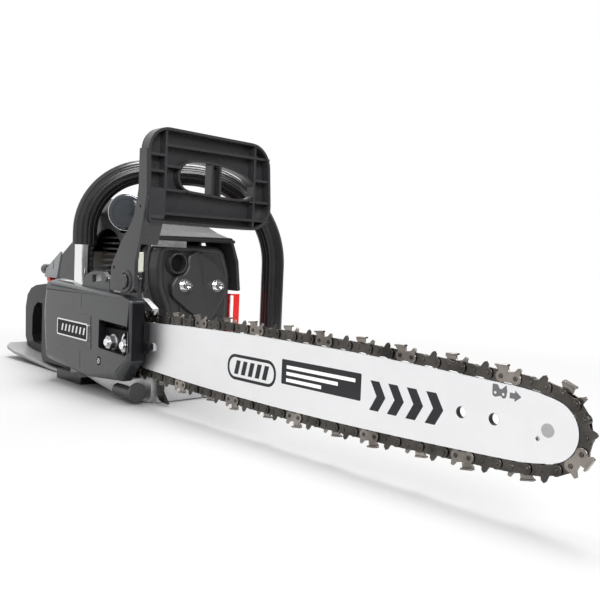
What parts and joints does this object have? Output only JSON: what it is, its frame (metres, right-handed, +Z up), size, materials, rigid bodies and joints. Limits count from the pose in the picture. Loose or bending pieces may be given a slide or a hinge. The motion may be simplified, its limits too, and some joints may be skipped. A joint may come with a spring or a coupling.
{
  "type": "chainsaw",
  "caption": "Petrol chainsaw with guide bar and full cutting chain, clutch cover, hand guard, wrapped front handle, rear handle and engine inside.",
  "frame": {"origin": "centre of the bounding box in plan, on the ground under the resting saw", "axes": "+X forward along the guide bar to its nose, +Y to the left (starter side), +Z up; the guide bar lies in a plane of constant Y near the right side"},
  "size_m": [0.8824, 0.2462, 0.286],
  "materials": {
    "bar_steel": "pale satin nickel-steel",
    "dark_steel": "oil-dark gunmetal",
    "cutter_chrome": "warm chrome plating",
    "bright_chrome": "bright plating",
    "machined_steel": "machined",
    "friction_steel": "sintered",
    "cover_plastic": "glossy dark grey, fine texture",
    "black_plastic": "semi-gloss black",
    "grey_plastic": "satin grey",
    "foot_plastic": "satin dark grey",
    "black_rubber": "ribbed sleeve",
    "cast_alloy": "bare pressure casting",
    "bright_alloy": "bright sheet",
    "muffler_black": "matt heat paint",
    "red_plastic": "gloss red",
    "white_nylon": "natural nylon",
    "badge_black": "gloss plate in a pale frame",
    "knob_plastic": "smoked gloss",
    "felt": "filter fleece",
    "ceramic": "white ceramic and steel"
  },
  "bodies": {
    "saw": {"guide_bar": "bar_steel", "nose_rivet": "machined_steel", "chain_drive_links": "dark_steel", "chain_cutters_right": "cutter_chrome", "chain_cutters_left": "cutter_chrome", "chain_preset_straps": "dark_steel", "chain_tie_straps": "dark_steel", "brake_band": "machined_steel", "clutch_cover": "cover_plastic", "badge_plate": "badge_black", "bar_nuts": "bright_chrome", "bar_studs": "bright_chrome", "guard_pivot_bolt": "black_plastic", "front_handle_tube": "bright_chrome", "front_grip": "black_rubber", "fuel_tank": "black_plastic", "rear_handle": "black_plastic", "rear_foot": "foot_plastic", "crankcase_right": "cast_alloy", "crankcase_left": "cast_alloy", "engine_cylinder": "cast_alloy", "spark_plug": "ceramic", "plug_boot": "black_rubber", "muffler_shell": "muffler_black", "muffler_cover": "muffler_black", "muffler_bolts": "bright_chrome", "heat_shield": "bright_alloy", "carburettor": "cast_alloy", "intake_boot": "black_rubber", "air_filter": "felt", "filter_cover": "grey_plastic", "top_cover": "black_plastic", "ignition_coil": "black_plastic", "starter_housing": "red_plastic", "bumper_spikes": "dark_steel", "chain_catcher": "black_plastic", "vibration_mounts": "black_rubber"},
    "drum": {"clutch_drum": "machined_steel", "rim_sprocket": "machined_steel", "needle_bearing": "machined_steel"},
    "nose_wheel": {"nose_sprocket": "machined_steel"},
    "crank": {"crankshaft": "machined_steel", "clutch_spider": "machined_steel", "clutch_shoes": "friction_steel", "clutch_springs": "machined_steel", "flywheel": "cast_alloy"},
    "piston_set": {"piston": "cast_alloy", "connecting_rod": "machined_steel"},
    "guard": {"hand_guard": "black_plastic", "brake_latch": "white_nylon"},
    "trigger": {"throttle_trigger": "black_plastic"},
    "lockout": {"throttle_lockout": "black_plastic"},
    "pulley": {"starter_pulley": "white_nylon"},
    "pull_handle": {"starter_handle": "black_plastic"},
    "choke": {"choke_knob": "black_plastic"},
    "stop": {"stop_switch": "red_plastic"},
    "oil_filler": {"oil_cap": "black_plastic"},
    "fuel_filler": {"fuel_cap": "black_plastic"},
    "cover_lock": {"cover_knob": "knob_plastic"},
    "tensioner": {"tension_screw": "machined_steel"}
  },
  "joints": [
    {"name": "chain_drive_spin", "type": "hinge", "parent": "saw", "child": "drum", "pos_m": [-0.17271, -0.09606, 0.062], "axis": [0, 1, 0], "continuous": true},
    {"name": "nose_wheel_spin", "type": "hinge", "parent": "saw", "child": "nose_wheel", "pos_m": [0.4101, -0.09606, 0.062], "axis": [0, 1, 0], "continuous": true},
    {"name": "engine_spin", "type": "hinge", "parent": "saw", "child": "crank", "pos_m": [-0.17271, -0.01906, 0.062], "axis": [0, 1, 0], "continuous": true},
    {"name": "piston_stroke", "type": "slide", "parent": "saw", "child": "piston_set", "axis": [0, 0, 1], "range_m": [-0.032, 0]},
    {"name": "hand_guard_tilt", "type": "hinge", "parent": "saw", "child": "guard", "pos_m": [-0.0572, -0.11406, 0.1275], "axis": [0, 1, 0], "range_deg": [0, 22]},
    {"name": "throttle_squeeze", "type": "hinge", "parent": "saw", "child": "trigger", "pos_m": [-0.3462, -0.04206, 0.092], "axis": [0, 1, 0], "range_deg": [0, 18], "stiffness_Nm_per_rad": 0.15, "springref_deg": -11.46},
    {"name": "lockout_squeeze", "type": "hinge", "parent": "saw", "child": "lockout", "pos_m": [-0.3562, -0.04206, 0.105], "axis": [0, -1, 0], "range_deg": [0, 10], "stiffness_Nm_per_rad": 0.12, "springref_deg": -11.46},
    {"name": "starter_pull", "type": "slide", "parent": "saw", "child": "pull_handle", "axis": [0, 0, 1], "range_m": [0, 0.45], "stiffness_N_per_m": 8, "springref_m": -0.05},
    {"name": "starter_pulley_spin", "type": "hinge", "parent": "saw", "child": "pulley", "pos_m": [-0.17271, 0.02694, 0.062], "axis": [0, 1, 0], "range_deg": [0, 889]},
    {"name": "choke_pull", "type": "slide", "parent": "saw", "child": "choke", "axis": [-1, 0, 0], "range_m": [0, 0.012]},
    {"name": "stop_switch_slide", "type": "slide", "parent": "saw", "child": "stop", "axis": [0, 0, 1], "range_m": [0, 0.006]},
    {"name": "oil_cap_turn", "type": "hinge", "parent": "saw", "child": "oil_filler", "pos_m": [-0.0612, 0.02594, 0.036], "axis": [0, 1, 0], "range_deg": [0, 720]},
    {"name": "fuel_cap_turn", "type": "hinge", "parent": "saw", "child": "fuel_filler", "pos_m": [-0.2882, 0.02594, 0.056], "axis": [0, 1, 0], "range_deg": [0, 720]},
    {"name": "cover_lock_turn", "type": "hinge", "parent": "saw", "child": "cover_lock", "pos_m": [-0.1422, -0.06606, 0.203], "axis": [0.7071, -0.7071, 0], "range_deg": [0, 90]},
    {"name": "tension_screw_turn", "type": "hinge", "parent": "saw", "child": "tensioner", "pos_m": [-0.0992, -0.11606, 0.04], "axis": [0, 1, 0], "range_deg": [-360, 360]}
  ],
  "couplings": [
    {"joint": "nose_wheel_spin", "follows": "chain_drive_spin", "ratio": 0.7},
    {"joint": "starter_pulley_spin", "follows": "starter_pull", "rad_per_m": 34.48}
  ]
}
